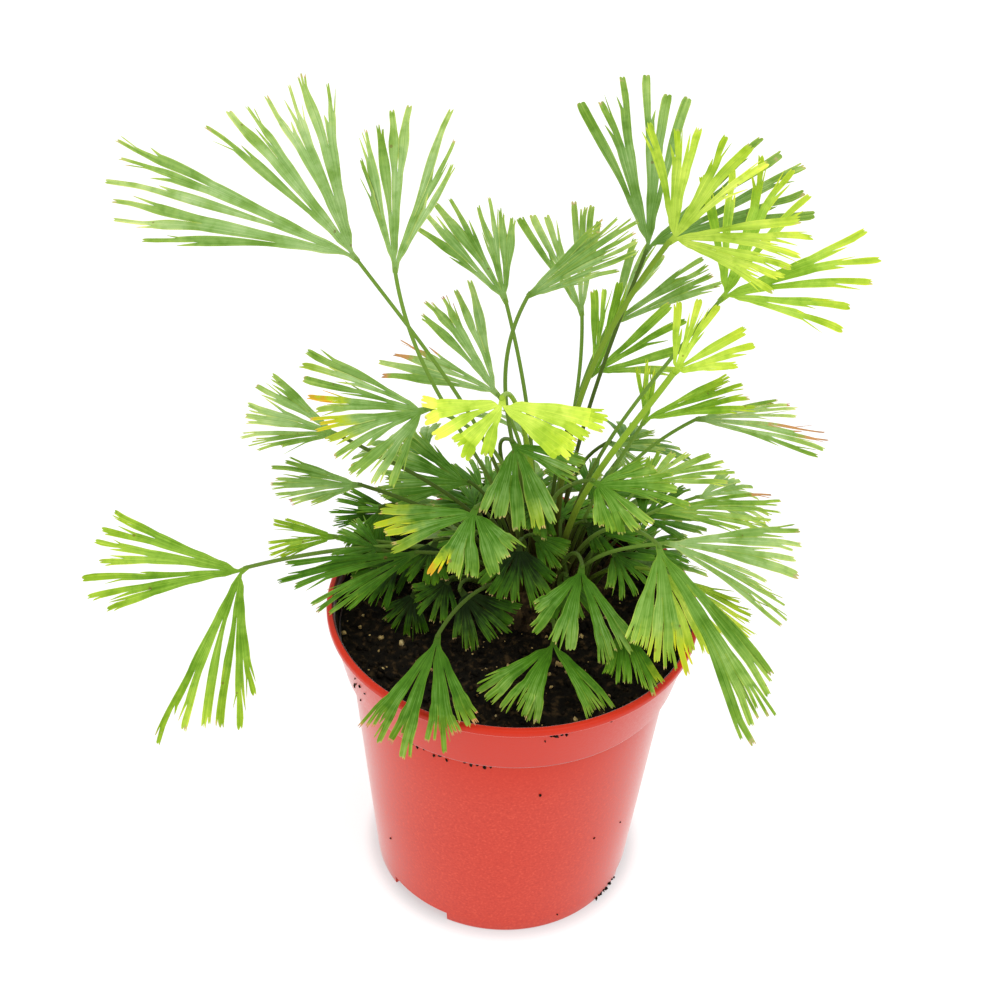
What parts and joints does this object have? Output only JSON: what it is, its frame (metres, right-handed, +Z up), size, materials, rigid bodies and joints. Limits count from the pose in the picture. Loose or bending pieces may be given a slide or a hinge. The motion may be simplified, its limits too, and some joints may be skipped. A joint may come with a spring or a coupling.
{
  "type": "potted fern",
  "caption": "Small fern with fan-shaped, repeatedly forked fronds on thin stalks, growing from a knobbly crown in a tapered plastic nursery pot filled with dark potting mix.",
  "frame": {"origin": "middle of the pot's underside, on the surface that the pot stands on", "axes": "+Z up, -Y the front that the picture shows, +X to the right in that view"},
  "size_m": [0.2426, 0.1601, 0.263],
  "materials": {
    "pot": "injection moulded plastic, terracotta red, satin to slightly glossy with fine speckle",
    "soil": "loose dark potting mix with a few pale perlite grains, matt",
    "crown": "knobbly dark brown rootstock with old stalk bases, matt",
    "green_frond": "leathery mid-green leaf with parallel veins and yellow-green margins, satin",
    "lime_frond": "young lime-green leaf with parallel veins, satin",
    "shaded_frond": "older dark green leaf with parallel veins, satin"
  },
  "bodies": {
    "root": {"pot": "pot", "soil": "soil", "crown": "crown", "frond_01": "green_frond", "frond_02": "green_frond", "frond_03": "green_frond", "frond_04": "green_frond", "frond_05": "green_frond", "frond_06": "green_frond", "frond_07": "shaded_frond", "frond_08": "lime_frond", "frond_09": "green_frond", "frond_10": "lime_frond", "frond_11": "shaded_frond", "frond_12": "green_frond", "frond_13": "green_frond", "frond_14": "green_frond", "frond_15": "lime_frond", "frond_16": "green_frond", "frond_17": "shaded_frond", "frond_18": "shaded_frond", "frond_19": "green_frond", "frond_20": "green_frond", "frond_21": "green_frond", "frond_22": "shaded_frond", "frond_23": "shaded_frond", "frond_24": "green_frond", "frond_25": "green_frond", "frond_26": "green_frond", "frond_27": "green_frond", "frond_28": "green_frond", "frond_29": "green_frond", "frond_30": "green_frond", "frond_31": "green_frond", "frond_32": "green_frond", "frond_33": "green_frond", "frond_34": "shaded_frond", "frond_35": "shaded_frond", "frond_36": "shaded_frond", "frond_37": "lime_frond", "frond_38": "shaded_frond", "frond_39": "shaded_frond", "frond_40": "shaded_frond", "frond_41": "shaded_frond", "frond_42": "shaded_frond", "frond_43": "shaded_frond", "frond_44": "shaded_frond", "frond_45": "green_frond", "frond_46": "green_frond", "frond_47": "green_frond", "frond_48": "green_frond", "frond_49": "shaded_frond", "frond_50": "shaded_frond", "frond_51": "shaded_frond", "frond_52": "shaded_frond", "frond_53": "shaded_frond", "frond_54": "shaded_frond"}
  },
  "joints": []
}
